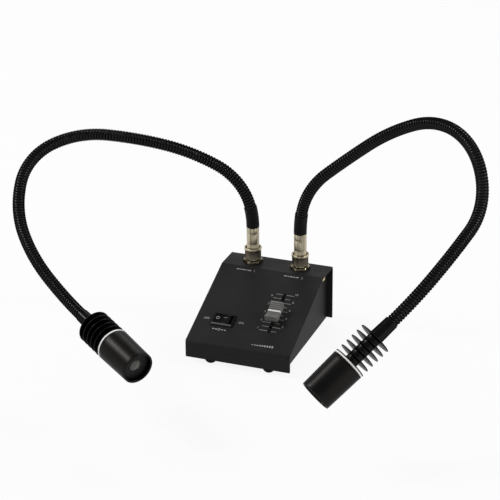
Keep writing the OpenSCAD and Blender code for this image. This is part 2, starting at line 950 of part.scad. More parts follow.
cover();
chassis();
side_screws();
feet();
jack("left");  // left_jack
jack("right");  // right_jack
jack_nuts();
lock_washers();
jack_insulators();
jack_contacts();
switch_housing();
rocker();
switch_terminals();
fader_case();
fader_lever();
fader_cap();
circuit_board();
standoffs();
board_screws();
power_inlet();
inlet_nut();
inlet_pin();
for (side = SIDES) {
    coupling_nut(side);
    plug_barrel(side);
    plug_contact(side);
    neck_sleeve(side);
    for (i = [1 : SEGMENTS])
        neck(side, i);
    lamp_sleeve(side);
    heat_sink(side);
    spacer_ring(side);
    lamp_barrel(side);
    reflector(side);
    lens(side);
    lamp_board(side);
}
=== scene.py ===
"""Looks for the dual gooseneck illuminator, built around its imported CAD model."""
import json
import math

import bmesh
import bpy
from mathutils import Matrix, Vector


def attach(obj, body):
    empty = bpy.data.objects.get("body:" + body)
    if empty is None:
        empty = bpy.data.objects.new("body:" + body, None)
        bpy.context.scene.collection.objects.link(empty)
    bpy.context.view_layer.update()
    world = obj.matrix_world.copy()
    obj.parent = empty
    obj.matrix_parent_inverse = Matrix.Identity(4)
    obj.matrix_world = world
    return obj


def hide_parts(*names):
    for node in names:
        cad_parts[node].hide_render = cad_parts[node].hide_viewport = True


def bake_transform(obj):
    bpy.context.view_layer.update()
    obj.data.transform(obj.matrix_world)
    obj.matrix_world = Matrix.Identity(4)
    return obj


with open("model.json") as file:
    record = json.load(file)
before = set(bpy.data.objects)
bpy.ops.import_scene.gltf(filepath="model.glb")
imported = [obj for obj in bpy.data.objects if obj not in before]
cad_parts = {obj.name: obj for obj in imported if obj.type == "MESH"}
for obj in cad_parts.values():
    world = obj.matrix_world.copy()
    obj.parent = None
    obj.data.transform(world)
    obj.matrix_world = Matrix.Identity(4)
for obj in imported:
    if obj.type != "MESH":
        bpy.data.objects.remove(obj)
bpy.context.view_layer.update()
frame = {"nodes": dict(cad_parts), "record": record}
MM = 0.001
FULL_TURN = 2 * math.pi

# ---------------------------------------------------------------- sizes, in mm, as in the part's source
COVER_D, COVER_H, LIP_H, LEDGE_D, FOOT_H = 106.5, 47.0, 14.2, 25.1, 4.3
Z_TOP = FOOT_H + COVER_H
Y_FRONT = -COVER_D / 2
SLOPE = math.atan2(COVER_H - LIP_H, COVER_D - LEDGE_D)
SLOPE_L = (COVER_D - LEDGE_D) / math.cos(SLOPE)
JACK_X = {"left": -20.5, "right": 20.5}
JACK_Y = COVER_D / 2 - 14.5
Z_NUT = Z_TOP + 2.8 + 1.2  # above the jack's hexagon and a gap
Z_RIM = Z_NUT + 9.6
Z_BARREL = Z_RIM + 18
NECK_R, SLEEVE_L = 4.85, 17.5
SEGMENT_L, SEGMENTS, RIBS = 46.0, 8, 19
# Bend of the lower sleeve and of each segment, and the side to which it bends, in degrees
BENDS = {
    "left": (13, 50, 15, 15, 33, 49, 27.5, 19, 21.5),
    "right": (13, 39, 5, 16, 42, 42, 41, 12, 12),
}
TURNS = {
    "left": (-160, -171, -155, -87, -117, -115, -90, -122, -16),
    "right": (-40, 9, -65, -35, -46, -42, -108, -25, -40),
}
FADER_X, FADER_S, FADER_TRAVEL, FADER_AT = 19.2, 23.1, 40.0, 15.6
SWITCH_X, SWITCH_S, SWITCH_DEPTH = 20.7, 26.8, 12.0
BEZEL_W, BEZEL_L, BEZEL_H, BEZEL_FRAME = 18.6, 12.8, 1.6, 1.8
ROCKER_DEPTH, ROCKER_TILT, ROCKER_GAP = 7.0, 8.0, 0.7
PIVOT_H, PIN_R, PIN_HALF = -2.6, 1.0, 4.9


def deg(a):
    return math.radians(a)


# ---------------------------------------------------------------- frames of the part
def slope_frame(x=0.0, s=0.0, h=0.0):
    """Matrix from slope coordinates in mm (X across, Y up the slope, Z outward) to the row frame in metres."""
    place = Matrix.Translation((0, Y_FRONT * MM, (FOOT_H + LIP_H) * MM)) @ Matrix.Rotation(SLOPE, 4, "X")
    return place @ Matrix.Translation((x * MM, s * MM, h * MM)) @ Matrix.Scale(MM, 4)


def on_slope(x, s, lift):
    return slope_frame() @ Vector((x, s, lift))


def arc_frame(side, i, share):
    """Matrix at a share of piece i of an arm, from the piece's own start, in mm."""
    length = SLEEVE_L if i == 0 else SEGMENT_L
    bend, turn = deg(BENDS[side][i]), deg(TURNS[side][i])
    r = length / bend
    a = bend * share
    return (
        Matrix.Rotation(turn, 4, "Z")
        @ Matrix.Translation((r * (1 - math.cos(a)), 0, r * math.sin(a)))
        @ Matrix.Rotation(a, 4, "Y")
        @ Matrix.Rotation(-turn, 4, "Z")
    )


def arm_frames(side):
    """Frames in mm at the start of the lower sleeve, of each segment, and at the arm's end."""
    out = [Matrix.Translation((JACK_X[side], JACK_Y, Z_BARREL))]
    for i in range(SEGMENTS + 1):
        out.append(out[-1] @ arc_frame(side, i, 1.0))
    return out


ARMS = {side: arm_frames(side) for side in JACK_X}


# ---------------------------------------------------------------- nodes
def empty_tree(owner):
    """Nodes and links of a material or a world, cleared."""
    owner.use_nodes = True
    owner.node_tree.nodes.clear()
    return owner.node_tree.nodes, owner.node_tree.links


def shader_tree(name):
    """A new material with a principled shader at its output."""
    mat = bpy.data.materials.new(name)
    nodes, links = empty_tree(mat)
    out = nodes.new("ShaderNodeOutputMaterial")
    shader = nodes.new("ShaderNodeBsdfPrincipled")
    links.new(shader.outputs[0], out.inputs[0])
    return mat, nodes, links, shader


def noise_value(nodes, links, stretch, scale, detail):
    """Noise over the object's own coordinates, stretched along the axes that have a small factor."""
    place = nodes.new("ShaderNodeTexCoord")
    mapping = nodes.new("ShaderNodeMapping")
    mapping.inputs["Scale"].default_value = stretch
    links.new(place.outputs["Object"], mapping.inputs[0])
    n = nodes.new("ShaderNodeTexNoise")
    n.inputs["Scale"].default_value = scale
    n.inputs["Detail"].default_value = detail
    n.inputs["Roughness"].default_value = 0.55
    links.new(mapping.outputs[0], n.inputs["Vector"])
    return n.outputs["Fac"]


def spread(nodes, links, value, low, high, from_low=0.3, from_high=0.7):
    """Maps a value's range to low and high."""
    n = nodes.new("ShaderNodeMapRange")
    n.inputs["From Min"].default_value = from_low
    n.inputs["From Max"].default_value = from_high
    n.inputs["To Min"].default_value = low
    n.inputs["To Max"].default_value = high
    links.new(value, n.inputs["Value"])
    return n.outputs[0]


def blend_colour(nodes, links, value, dark, light):
    n = nodes.new("ShaderNodeMix")
    n.data_type = "RGBA"
    links.new(value, n.inputs[0])
    n.inputs[6].default_value = (*dark, 1)
    n.inputs[7].default_value = (*light, 1)
    return n.outputs[2]


def bump(nodes, links, shader, height, strength, distance):
    n = nodes.new("ShaderNodeBump")
    n.inputs["Strength"].default_value = strength
    n.inputs["Distance"].default_value = distance
    links.new(height, n.inputs["Height"])
    links.new(n.outputs[0], shader.inputs["Normal"])


def combine(nodes, links, operation, a, b):
    """An operation on two sockets, or on a socket and a number."""
    n = nodes.new("ShaderNodeMath")
    n.operation = operation
    links.new(a, n.inputs[0])
    if isinstance(b, float):
        n.inputs[1].default_value = b
    else:
        links.new(b, n.inputs[1])
    return n.outputs[0]


def mix_to_output(nodes, links, output, share, first, second):
    """Ends a tree with two shaders mixed by a share, 0 for the first and 1 for the second."""
    out = nodes.new(output)
    mix = nodes.new("ShaderNodeMixShader")
    links.new(share, mix.inputs[0])
    links.new(first.outputs[0], mix.inputs[1])
    links.new(second.outputs[0], mix.inputs[2])
    links.new(mix.outputs[0], out.inputs[0])


# ---------------------------------------------------------------- materials
def surface(name, dark, light, rough, metallic=0.0, specular=0.5, tint=1.0,
            grain=900.0, grain_bump=0.15, grain_depth=0.00004, patch=40.0):
    """A surface with patchy colour, patchy roughness and a fine grain."""
    mat, nodes, links, shader = shader_tree(name)
    wide = noise_value(nodes, links, (1, 1, 1), patch, 3.0)
    fine = noise_value(nodes, links, (1, 1, 1), grain, 3.0)
    colour = blend_colour(nodes, links, spread(nodes, links, wide, 0, 1), dark, light)
    links.new(colour, shader.inputs["Base Color"])
    links.new(spread(nodes, links, fine, *rough), shader.inputs["Roughness"])
    shader.inputs["Metallic"].default_value = metallic
    shader.inputs["Specular IOR Level"].default_value = specular
    shader.inputs["Specular Tint"].default_value = (tint, tint, tint, 1)
    bump(nodes, links, shader, fine, grain_bump, grain_depth)
    return mat


def drawn_metal(name, dark, light, rough):
    """Drawn metal: long streaks along Z, partly tarnish and polish and partly painted reflections, with finer brush
    lines.
    """
    mat, nodes, links, shader = shader_tree(name)
    broad = noise_value(nodes, links, (1, 1, 0.03), 330.0, 2.0)
    fine = noise_value(nodes, links, (1, 1, 0.08), 1300.0, 3.0)
    both = nodes.new("ShaderNodeMix")
    both.inputs[0].default_value = 0.4
    links.new(broad, both.inputs[2])
    links.new(fine, both.inputs[3])
    streaks = spread(nodes, links, both.outputs[0], 0, 1, 0.38, 0.62)
    links.new(blend_colour(nodes, links, streaks, dark, light), shader.inputs["Base Color"])
    brush = noise_value(nodes, links, (1, 1, 0.04), 2200.0, 2.0)
    links.new(spread(nodes, links, brush, *rough), shader.inputs["Roughness"])
    shader.inputs["Metallic"].default_value = 1.0
    bump(nodes, links, shader, brush, 0.12, 0.00003)
    return mat


# Each row: dark colour, light colour, least and most roughness, and what differs from surface's own values
SURFACES = {
    "housing_paint": ((0.0142, 0.0134, 0.0137), (0.0178, 0.0168, 0.0170), (0.58, 0.7),
                      dict(specular=0.13, grain=1800.0, grain_bump=0.35, grain_depth=0.00005)),
    "chassis_paint": ((0.0094, 0.0080, 0.0075), (0.0130, 0.0110, 0.0102), (0.5, 0.62),
                      dict(specular=0.14, grain=1800.0, grain_bump=0.3)),
    "screw_metal": ((0.62, 0.52, 0.32), (0.74, 0.64, 0.42), (0.22, 0.4), dict(metallic=1.0)),
    "steel": ((0.50, 0.50, 0.49), (0.60, 0.60, 0.58), (0.25, 0.45), dict(metallic=1.0)),
    "contact": ((0.78, 0.55, 0.22), (0.85, 0.64, 0.30), (0.18, 0.3), dict(metallic=1.0)),
    "white_plastic": ((0.90, 0.90, 0.88), (0.95, 0.95, 0.93), (0.4, 0.5), {}),
    # Gloss and satin blacks are near-black metals with a dimmed edge, so they stay dark at grazing angles
    "arm_skin": ((0.0170, 0.0170, 0.0172), (0.0225, 0.0225, 0.0227), (0.18, 0.26),
                 dict(metallic=1.0, tint=0.3, grain=500.0, grain_bump=0.1)),
    # Near-black on the grooves between the arm's ribs: painted shade in the grooves
    "arm_groove_painted_shade": ((0.0014, 0.0014, 0.0015), (0.0022, 0.0022, 0.0023), (0.7, 0.85),
                   dict(specular=0.04, grain=500.0, grain_bump=0.1)),
    "sleeve_skin": ((0.0060, 0.0058, 0.0064), (0.0085, 0.0082, 0.0088), (0.55, 0.75),
                    dict(specular=0.1, grain=700.0, grain_bump=0.4)),
    "lamp_black": ((0.0155, 0.0147, 0.0143), (0.0196, 0.0184, 0.0175), (0.36, 0.43),
                   dict(metallic=1.0, tint=0.7, grain=1500.0, grain_bump=0.1)),
    "fin_black": ((0.0155, 0.0150, 0.0145), (0.0195, 0.0187, 0.0180), (0.32, 0.4),
                  dict(metallic=1.0, tint=0.66, grain=1500.0, grain_bump=0.1)),
    "sleeve_gloss": ((0.0130, 0.0130, 0.0134), (0.0170, 0.0170, 0.0174), (0.2, 0.26),
                     dict(metallic=1.0, tint=0.45, grain=600.0, grain_bump=0.1)),
    "rocker_black": ((0.0026, 0.0026, 0.0028), (0.0040, 0.0040, 0.0042), (0.14, 0.22),
                     dict(specular=0.14, grain=1200.0, grain_bump=0.1)),
    "bezel_black": ((0.0028, 0.0028, 0.0030), (0.0044, 0.0044, 0.0046), (0.3, 0.38),
                    dict(specular=0.16, grain=1200.0, grain_bump=0.12)),
    # Lighter grey for the bezel's front lip: a painted highlight along its front edge
    "bezel_lip_painted_highlight": ((0.062, 0.062, 0.061), (0.095, 0.095, 0.093), (0.35, 0.45),
                  dict(specular=0.3, grain=1400.0, patch=300.0)),
    "tunnel_black": ((0.0040, 0.0040, 0.0040), (0.0060, 0.0060, 0.0060), (0.4, 0.55), dict(specular=0.14)),
    "lens_clear": ((0.065, 0.065, 0.058), (0.09, 0.09, 0.08), (0.16, 0.28),
                   dict(specular=0.4, grain=400.0, grain_bump=0.1)),
    "lamp_pcb": ((0.78, 0.78, 0.74), (0.85, 0.85, 0.81), (0.4, 0.5), {}),
    "black_plastic": ((0.0040, 0.0040, 0.0043), (0.0060, 0.0060, 0.0063), (0.24, 0.34),
                      dict(specular=0.24, grain=1200.0)),
    "cap_grey": ((0.165, 0.163, 0.155), (0.225, 0.221, 0.212), (0.5, 0.62),
                 dict(specular=0.3, grain=1200.0, grain_bump=0.2)),
    "pcb": ((0.03, 0.12, 0.05), (0.05, 0.17, 0.08), (0.3, 0.45), {}),
    "foot_rubber": ((0.0045, 0.0045, 0.0045), (0.007, 0.007, 0.007), (0.6, 0.8),
                    dict(specular=0.1, grain_bump=0.3)),
    "print_white": ((0.32, 0.32, 0.31), (0.42, 0.42, 0.41), (0.5, 0.6), dict(specular=0.3, grain=3000.0)),
    "line_white": ((0.72, 0.72, 0.70), (0.80, 0.80, 0.78), (0.45, 0.55), dict(specular=0.3)),
}
METALS = {
    # Dark and light streak colours; the wide gap between them is partly painted reflection
    "nickel": ((0.200, 0.174, 0.125), (0.64, 0.57, 0.42), (0.30, 0.44)),
    "nickel_knurl_dark": ((0.085, 0.073, 0.056), (0.21, 0.183, 0.140), (0.30, 0.46)),
    "nickel_bright": ((0.20, 0.174, 0.125), (0.62, 0.555, 0.41), (0.12, 0.2)),
}
MATS = {name: surface(name, *row, **more) for name, (*row, more) in SURFACES.items()}
MATS.update({name: drawn_metal(name, *row) for name, row in METALS.items()})


# ---------------------------------------------------------------- mesh helpers
def piece(name, verts, faces, slot, smooth=True, scale=1.0):
    """An object from vertices in metres, or in mm with scale MM."""
    mesh = bpy.data.meshes.new(name)
    mesh.from_pydata([tuple(Vector(v) * scale) for v in verts], [], faces)
    mesh.validate()
    bm = bmesh.new()
    bm.from_mesh(mesh)
    bmesh.ops.recalc_face_normals(bm, faces=bm.faces)
    bm.to_mesh(mesh)
    bm.free()
    if smooth:
        mesh.polygons.foreach_set("use_smooth", [True] * len(mesh.polygons))
    obj = bpy.data.objects.new(name, mesh)
    bpy.context.scene.collection.objects.link(obj)
    obj.data.materials.append(MATS[slot])
    return obj


def join_parts(name, parts, slot, smooth=False):
    verts, faces = [], []
    for v, f in parts:
        base = len(verts)
        verts += v
        faces += [tuple(i + base for i in face) for face in f]
    return piece(name, verts, faces, slot, smooth=smooth)


def bevel(obj, width):
    """Softens an object's sharp edges; faces that meet only by place are welded first."""
    weld = obj.modifiers.new("weld", "WELD")
    weld.merge_threshold = 1e-6
    soft = obj.modifiers.new("bevel", "BEVEL")
    soft.width = width * MM
    soft.segments = 2
    soft.limit_method = "ANGLE"
    soft.angle_limit = deg(35)
    soft.harden_normals = True
    soft.use_clamp_overlap = True


def sharp_normals(obj, angle):
    """Smooth shading with creases at edges sharper than the angle."""
    mod = obj.modifiers.new("split", "EDGE_SPLIT")
    mod.split_angle = deg(angle)
    mod.use_edge_sharp = False


def tube_faces(rows, n, closed):
    """Faces between rows of n points each, round in each row; closed joins the last row to the first."""
    faces = []
    for i in range(rows if closed else rows - 1):
        a, b = i * n, (i + 1) % rows * n
        for j in range(n):
            q = (j + 1) % n
            faces.append((a + j, b + j, b + q, a + q))
    return faces


def loft(loops):
    """Skin over a stack of loops, closed at both ends."""
    n = len(loops[0])
    faces = tube_faces(len(loops), n, closed=False)
    faces.append(tuple(range(n)))
    faces.append(tuple((len(loops) - 1) * n + j for j in reversed(range(n))))
    return [v for loop in loops for v in loop], faces


# ---------------------------------------------------------------- carried-over CAD nodes
# Width of the softened edges in mm, by the node's name without its side
SOFT_EDGES = {
    "cover": 0.35, "chassis": 0.3, "side_screws": 0.15, "power_inlet": 0.25, "rocker": 0.3, "jack": 0.25,
    "plug_barrel": 0.1, "heat_sink": 0.12, "spacer_ring": 0.15, "lamp_barrel": 0.2, "reflector": 0.15,
}
# Nodes whose material is not the one that their slot names
FINISH = {
    "rocker": "rocker_black", "jack": "nickel_bright", "heat_sink": "fin_black", "lamp_sleeve": "sleeve_gloss",
}
slot_of = {s["node"]: s["material_slot"] for s in frame["record"]["subparts"]}
for node_name, obj in frame["nodes"].items():
    bare_name = node_name.removeprefix("left_").removeprefix("right_")
    obj.data.materials.clear()
    obj.data.materials.append(MATS[FINISH.get(bare_name, slot_of[node_name])])
    if bare_name in SOFT_EDGES:
        bevel(obj, SOFT_EDGES[bare_name])


# ---------------------------------------------------------------- ribbed arms
RIB_STEPS, RING_STEPS = 12, 32
PITCH = SEGMENT_L / RIBS
RIB_LOW, RIB_SHARE, RIB_CURVE = 4.28, 0.72, 2.6


def rib_place(along, turn):
    """Where a point lies on its rib: 0 on the crest, 1 in the middle of the groove. A rib climbs one pitch a turn."""
    return abs(2 * ((along / PITCH - turn) % 1.0 - 0.5))


def rib_radius(along, turn):
    """Radius of the skin: one round ridge to each pitch."""
    return RIB_LOW + (NECK_R - RIB_LOW) * math.sqrt(max(0.0, 1 - (rib_place(along, turn) / RIB_SHARE) ** RIB_CURVE))


def skin(side, index, start, end):
    """Ribbed skin between two places along an arm, counted in segments from the lower sleeve's top."""
    steps = round((end - start) * RIBS * RIB_STEPS)
    verts = []
    for k in range(steps + 1):
        at = start + (end - start) * k / steps
        i = min(int(at), SEGMENTS - 1)
        m = ARMS[side][i + 1] @ arc_frame(side, i + 1, at - i)
        for j in range(RING_STEPS):
            a = FULL_TURN * j / RING_STEPS
            r = rib_radius(at * SEGMENT_L, j / RING_STEPS)
            verts.append(m @ Vector((r * math.cos(a), r * math.sin(a), 0)))
    faces = tube_faces(steps + 1, RING_STEPS, closed=False)
    obj = piece("%s_skin_%d" % (side, index), verts, faces, "arm_skin", scale=MM)
    # Faces in the grooves between ribs get the near-black material: painted shade between the ribs
    obj.data.materials.append(MATS["arm_groove_painted_shade"])
    for face in obj.data.polygons:
        k, j = divmod(face.index, RING_STEPS)
        along = (start + (end - start) * (k + 0.5) / steps) * SEGMENT_L
        face.material_index = 1 if rib_place(along, (j + 0.5) / RING_STEPS) > RIB_SHARE else 0
    return obj


for side in JACK_X:
    for i in range(SEGMENTS + 1):
        obj = skin(side, i, max(i - 0.5, 0.0), min(i + 0.5, float(SEGMENTS)))
        if i == 0:
            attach(obj, side + "_arm_1")
        elif i == SEGMENTS:
            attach(obj, side + "_arm_8")
        else:
            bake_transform(obj)
        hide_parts("%s_neck_%d" % (side, max(i, 1)))

# ---------------------------------------------------------------- coupling nuts with a fine knurl
KNURLS, KNURL_DEPTH, NUT_STEPS = 84, 0.12, 504
NUT_BORE, NUT_R, COLLAR_R, MOUTH_R = 5.0, 6.7, 7.1, 5.4
# Radius and height of the turned section, from the foot up the outside and down the bore
NUT_PROFILE = (
    (NUT_BORE, Z_NUT), (NUT_R - 0.35, Z_NUT), (NUT_R, Z_NUT + 0.35), (NUT_R, Z_NUT + 0.6), (NUT_R, Z_RIM - 2.7),
    (NUT_R, Z_RIM - 2.45), (COLLAR_R - 0.1, Z_RIM - 2.0), (COLLAR_R, Z_RIM - 1.7), (COLLAR_R, Z_RIM - 0.35),
    (COLLAR_R - 0.1, Z_RIM - 0.1), (6.85, Z_RIM), (6.5, Z_RIM), (6.2, Z_RIM - 0.25),
    (MOUTH_R, Z_RIM - 1.6), (MOUTH_R, Z_RIM - 3.2), (NUT_BORE, Z_RIM - 3.4),
)


def knurled(r, z, a):
    """Radius of the nut at an angle; only the body between its end rings is knurled."""
    if r == NUT_R and Z_NUT + 0.5 < z < Z_RIM - 2.5:
        return r - KNURL_DEPTH * (0.5 + 0.5 * math.cos(KNURLS * a))
    return r


for side, x in JACK_X.items():
    verts = []
    for k in range(NUT_STEPS):
        a = FULL_TURN * k / NUT_STEPS
        for r, z in NUT_PROFILE:
            r = knurled(r, z, a)
            verts.append((x + r * math.cos(a), JACK_Y + r * math.sin(a), z))
    faces = tube_faces(NUT_STEPS, len(NUT_PROFILE), closed=True)
    nut = piece(side + "_bayonet_nut", verts, faces, "nickel", scale=MM)
    # The knurled body between the end rings takes a darker nickel
    nut.data.materials.append(MATS["nickel_knurl_dark"])
    for face in nut.data.polygons:
        mid = face.center / MM
        outside = math.hypot(mid.x - x, mid.y - JACK_Y) > 6.2
        face.material_index = 1 if outside and Z_NUT < mid.z < Z_RIM - 2.3 else 0
    sharp_normals(nut, 38)
    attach(nut, side + "_nut")
    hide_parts(side + "_coupling_nut")

# ---------------------------------------------------------------- printing
PRINT_T, TEXT_T, TEXT_LIFT = 0.03, 0.02, 0.01
SCALE_SIZE, JACK_SIZE = 2.8, 3.0
DASH_GAP, DASH_H = 0.7, 0.9
TICKS, TICK_HALF, TICK_FROM = 10, 0.17, 1.6
TICK_STEP = FADER_TRAVEL / (TICKS - 1)


def text(body, size, x, s):
    """Raised text on the slope, centred."""
    place = slope_frame(x, s, TEXT_LIFT)
    curve = bpy.data.curves.new("word", "FONT")
    curve.body = body
    curve.size = size
    curve.align_x = "CENTER"
    curve.align_y = "CENTER"
    curve.extrude = TEXT_T
    obj = bpy.data.objects.new("word", curve)
    bpy.context.scene.collection.objects.link(obj)
    bpy.context.view_layer.update()
    mesh = bpy.data.meshes.new_from_object(obj.evaluated_get(bpy.context.evaluated_depsgraph_get()))
    bpy.data.objects.remove(obj)
    return [place @ v.co for v in mesh.vertices], [tuple(p.vertices) for p in mesh.polygons]


def bar(x0, x1, s0, s1, point=on_slope):
    """A flat bar of print; point places it on the slope or on the rocker."""
    corners = [(x0, s0), (x1, s0), (x1, s1), (x0, s1)]
    verts = [point(x, s, lift) for lift in (0.0, PRINT_T) for x, s in corners]
    return verts, [(0, 3, 2, 1), (4, 5, 6, 7), (0, 1, 5, 4), (1, 2, 6, 5), (2, 3, 7, 6), (3, 0, 4, 7)]


def ring(x, s, r0, r1, steps, point=on_slope, start=0, end=360):
    """A flat ring of print, or a part of one between two angles."""
    closed = end - start == 360
    rows = steps if closed else steps + 1
    verts = []
    for k in range(rows):
        a = deg(start + (end - start) * k / steps)
        for r, lift in ((r0, 0.0), (r0, PRINT_T), (r1, PRINT_T), (r1, 0.0)):
            verts.append(point(x + r * math.cos(a), s + r * math.sin(a), lift))
    faces = tube_faces(rows, 4, closed)
    if not closed:
        faces += [(0, 1, 2, 3), tuple(4 * steps + j for j in (3, 2, 1, 0))]
    return verts, faces


def dashes(x, s, widths):
    """A row of short bars, centred on x."""
    at, out = x - (sum(widths) + DASH_GAP * (len(widths) - 1)) / 2, []
    for w in widths:
        out.append(bar(at, at + w, s - DASH_H / 2, s + DASH_H / 2))
        at += w + DASH_GAP
    return out


def jack_mark(number, x):
    """A plain number after a row of bars, in front of a jack."""
    s = SLOPE_L - 4.1
    return dashes(x - 1.9, s, (2.4, 1.2, 2.4, 1.2, 2.4)) + [text(number, JACK_SIZE, x + 7.2, s)]


def switch_mark(x):
    """An open ring with a bar, the common sign for switching on, between bars, in front of the switch."""
    s = SWITCH_S - 10.1
    out = [ring(x, s, 0.8, 1.2, 28, start=130, end=410), bar(x - 0.2, x + 0.2, s + 0.2, s + 1.5)]
    return out + dashes(x - 3.8, s, (1.6, 1.6)) + dashes(x + 3.8, s, (1.6, 1.6))


def ramp_mark(x):
    """Nine bars that grow to the right, for more and less light."""
    s, out = FADER_S - 15.8, []
    for k in range(9):
        at = x - 9.2 + k * 2.08
        out.append(bar(at, at + 1.25, s - 1.0, s - 0.3 + 0.18 * k))
    return out


def tick_marks():
    """The fader's scale: a line each side of the slot, with the numbers left and right in turn."""
    out = []
    for n in range(1, TICKS + 1):
        s = FADER_S + (n - 1) * TICK_STEP
        odd = n % 2 == 1
        reach_left, reach_right = (8.4, 6.0) if odd else (7.2, 8.0)
        out.append(bar(FADER_X - reach_left, FADER_X - TICK_FROM, s - TICK_HALF, s + TICK_HALF))
        out.append(bar(FADER_X + TICK_FROM, FADER_X + reach_right, s - TICK_HALF, s + TICK_HALF))
        out.append(text(str(n), SCALE_SIZE, FADER_X - 10.1 if odd else FADER_X + 9.3, s + 1.9))
    return out


parts = tick_marks() + jack_mark("1", -21.3) + jack_mark("2", 19.9) + switch_mark(-21.1) + ramp_mark(FADER_X)
parts += [text("OFF", SCALE_SIZE, -34.9, 26.4), text("ON", SCALE_SIZE, -5.8, 26.7)]
print_piece = join_parts("scale_print", parts, "print_white")
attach(print_piece, "base")


# ---------------------------------------------------------------- switch bezel with a sloping frame
CORNER_STEPS, PIN_STEPS = 5, 24
# Each loop: inset from the bezel's outline, corner radius, height, and how much lower its front side lies
BEZEL_LOOPS = (
    (1.1, 0.3, -SWITCH_DEPTH, 0.0),
    (1.1, 0.3, 0.0, 0.0),
    (0.0, 0.9, 0.0, 0.0),
    (0.0, 0.9, BEZEL_H - 0.5, 0.3),
    (0.08, 0.85, BEZEL_H - 0.3, 0.35),
    (0.25, 0.8, BEZEL_H - 0.12, 0.4),
    (BEZEL_FRAME - 0.25, 0.5, BEZEL_H, 0.02),
    (BEZEL_FRAME - 0.1, 0.45, BEZEL_H, 0.0),
    (BEZEL_FRAME, 0.4, BEZEL_H - 0.12, 0.0),
    (BEZEL_FRAME, 0.4, -ROCKER_DEPTH, 0.0),
)


def rounded_loop(inset, radius, h, front):
    """Points round a rectangle with rounded corners; the front side lies lower by front."""
    half_w, half_l = BEZEL_W / 2 - inset - radius, BEZEL_L / 2 - inset - radius
    out = []
    for cx, cs, start in ((1, 1, 0), (-1, 1, 90), (-1, -1, 180), (1, -1, 270)):
        for k in range(CORNER_STEPS + 1):
            a = deg(start + 90 * k / CORNER_STEPS)
            low = front if cs < 0 else 0.0
            out.append(switch_place @ Vector(
                (cx * half_w + radius * math.cos(a), cs * half_l + radius * math.sin(a), h - low)))
    return out


switch_place = slope_frame(-SWITCH_X, SWITCH_S)
pivot = slope_frame(-SWITCH_X, SWITCH_S, PIVOT_H)
pin_place = pivot @ Matrix.Rotation(deg(90), 4, "X")
pin_loops = []
for z in (-PIN_HALF, PIN_HALF):
    angles = [FULL_TURN * k / PIN_STEPS for k in range(PIN_STEPS)]
    pin_loops.append([pin_place @ Vector((PIN_R * math.cos(a), PIN_R * math.sin(a), z)) for a in angles])
frame_part = loft([rounded_loop(*row) for row in BEZEL_LOOPS])
bezel = join_parts("switch_bezel", [frame_part, loft(pin_loops)], "bezel_black", smooth=True)
# Faces along the top of the bezel's front side get the lighter grey: a painted highlight
bezel.data.materials.append(MATS["bezel_lip_painted_highlight"])
to_switch = switch_place.inverted()
for face in bezel.data.polygons:
    mid = to_switch @ face.center
    on_front = 0.2 < mid.y + BEZEL_L / 2 < BEZEL_FRAME - 0.1
    painted_highlight = on_front and abs(mid.x) < BEZEL_W / 2 - 1.2 and mid.z > BEZEL_H - 0.7
    face.material_index = 1 if painted_highlight else 0
sharp_normals(bezel, 34)
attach(bezel, "base")
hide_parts("switch_housing")

# ---------------------------------------------------------------- the rocker's marks
HALF_ROCKER = BEZEL_W / 2 - BEZEL_FRAME - ROCKER_GAP
TILT_SLOPE = math.tan(deg(ROCKER_TILT))
VALLEY = BEZEL_H + 0.6 - PIVOT_H - HALF_ROCKER * TILT_SLOPE
tilted = pivot @ Matrix.Rotation(deg(-ROCKER_TILT), 4, "Y")


def on_rocker(x, s, lift):
    """A place on the rocker's top, which rises from its middle to both ends."""
    return tilted @ Vector((x, s, VALLEY + abs(x) * TILT_SLOPE + lift))


rocker_print = join_parts(
    "rocker_print",
    [ring(-4.4, 0.9, 1.05, 1.42, 32, on_rocker), bar(0.5, 3.8, 1.45, 1.75, on_rocker)],
    "print_white",
)
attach(rocker_print, "rocker")

# ---------------------------------------------------------------- fader cap
CAP_TOP_L, CAP_BASE_L, CAP_TOP_W, CAP_BASE_W = 16.9, 17.2, 10.2, 10.8
CAP_FOOT, CAP_END, CAP_MIDDLE, CAP_SADDLE = 4.2, 9.6, 7.4, 1.6
CAP_ROWS, CAP_COLS = 220, 8
CAP_RIB_FROM, CAP_RIB_END, CAP_RIB_PITCH, CAP_RIB_DEPTH, CAP_RIB_CURVE = 1.0, 0.9, 1.62, 0.75, 2.2
LINE_HALF, LINE_FOOT, LINE_T = 0.75, 5.6, 0.05


def cap_top(y):
    """Height of the cap's top at a place along it: a saddle, with fine ribs each side of the centre line."""
    from_middle = abs(y)
    top = CAP_MIDDLE + (CAP_END - CAP_MIDDLE) * min(1.0, from_middle / (CAP_TOP_L / 2)) ** CAP_SADDLE
    if CAP_RIB_FROM < from_middle < CAP_TOP_L / 2 - CAP_RIB_END:
        wave = 0.5 - 0.5 * math.cos(FULL_TURN * (from_middle - CAP_RIB_FROM) / CAP_RIB_PITCH)
        top -= CAP_RIB_DEPTH * wave ** CAP_RIB_CURVE
    return top


def cap_mesh(place):
    """The cap as a stack of cross sections along it."""
    loops = []
    for i in range(CAP_ROWS + 1):
        t = -1 + 2 * i / CAP_ROWS
        y_top, y_base = t * CAP_TOP_L / 2, t * CAP_BASE_L / 2
        top = cap_top(y_top)
        if abs(t) > 0.985:
            top -= 0.3
        flank = [(CAP_BASE_W / 2, y_base, CAP_FOOT), (CAP_TOP_W / 2 + 0.1, y_top, top - 0.35),
                 (CAP_TOP_W / 2 - 0.1, y_top, top - 0.08)]
        loop = [(-x, y, z) for x, y, z in flank]
        for j in range(CAP_COLS + 1):
            loop.append((-CAP_TOP_W / 2 + 0.35 + (CAP_TOP_W - 0.7) * j / CAP_COLS, y_top, top))
        loop += reversed(flank)
        loops.append([place @ Vector(v) for v in loop])
    return loft(loops)


cap_place = slope_frame(FADER_X, FADER_S + FADER_AT)
cap = piece("fader_cap_ribbed", *cap_mesh(cap_place), "cap_grey")
sharp_normals(cap, 35)
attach(cap, "fader")
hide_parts("fader_cap")

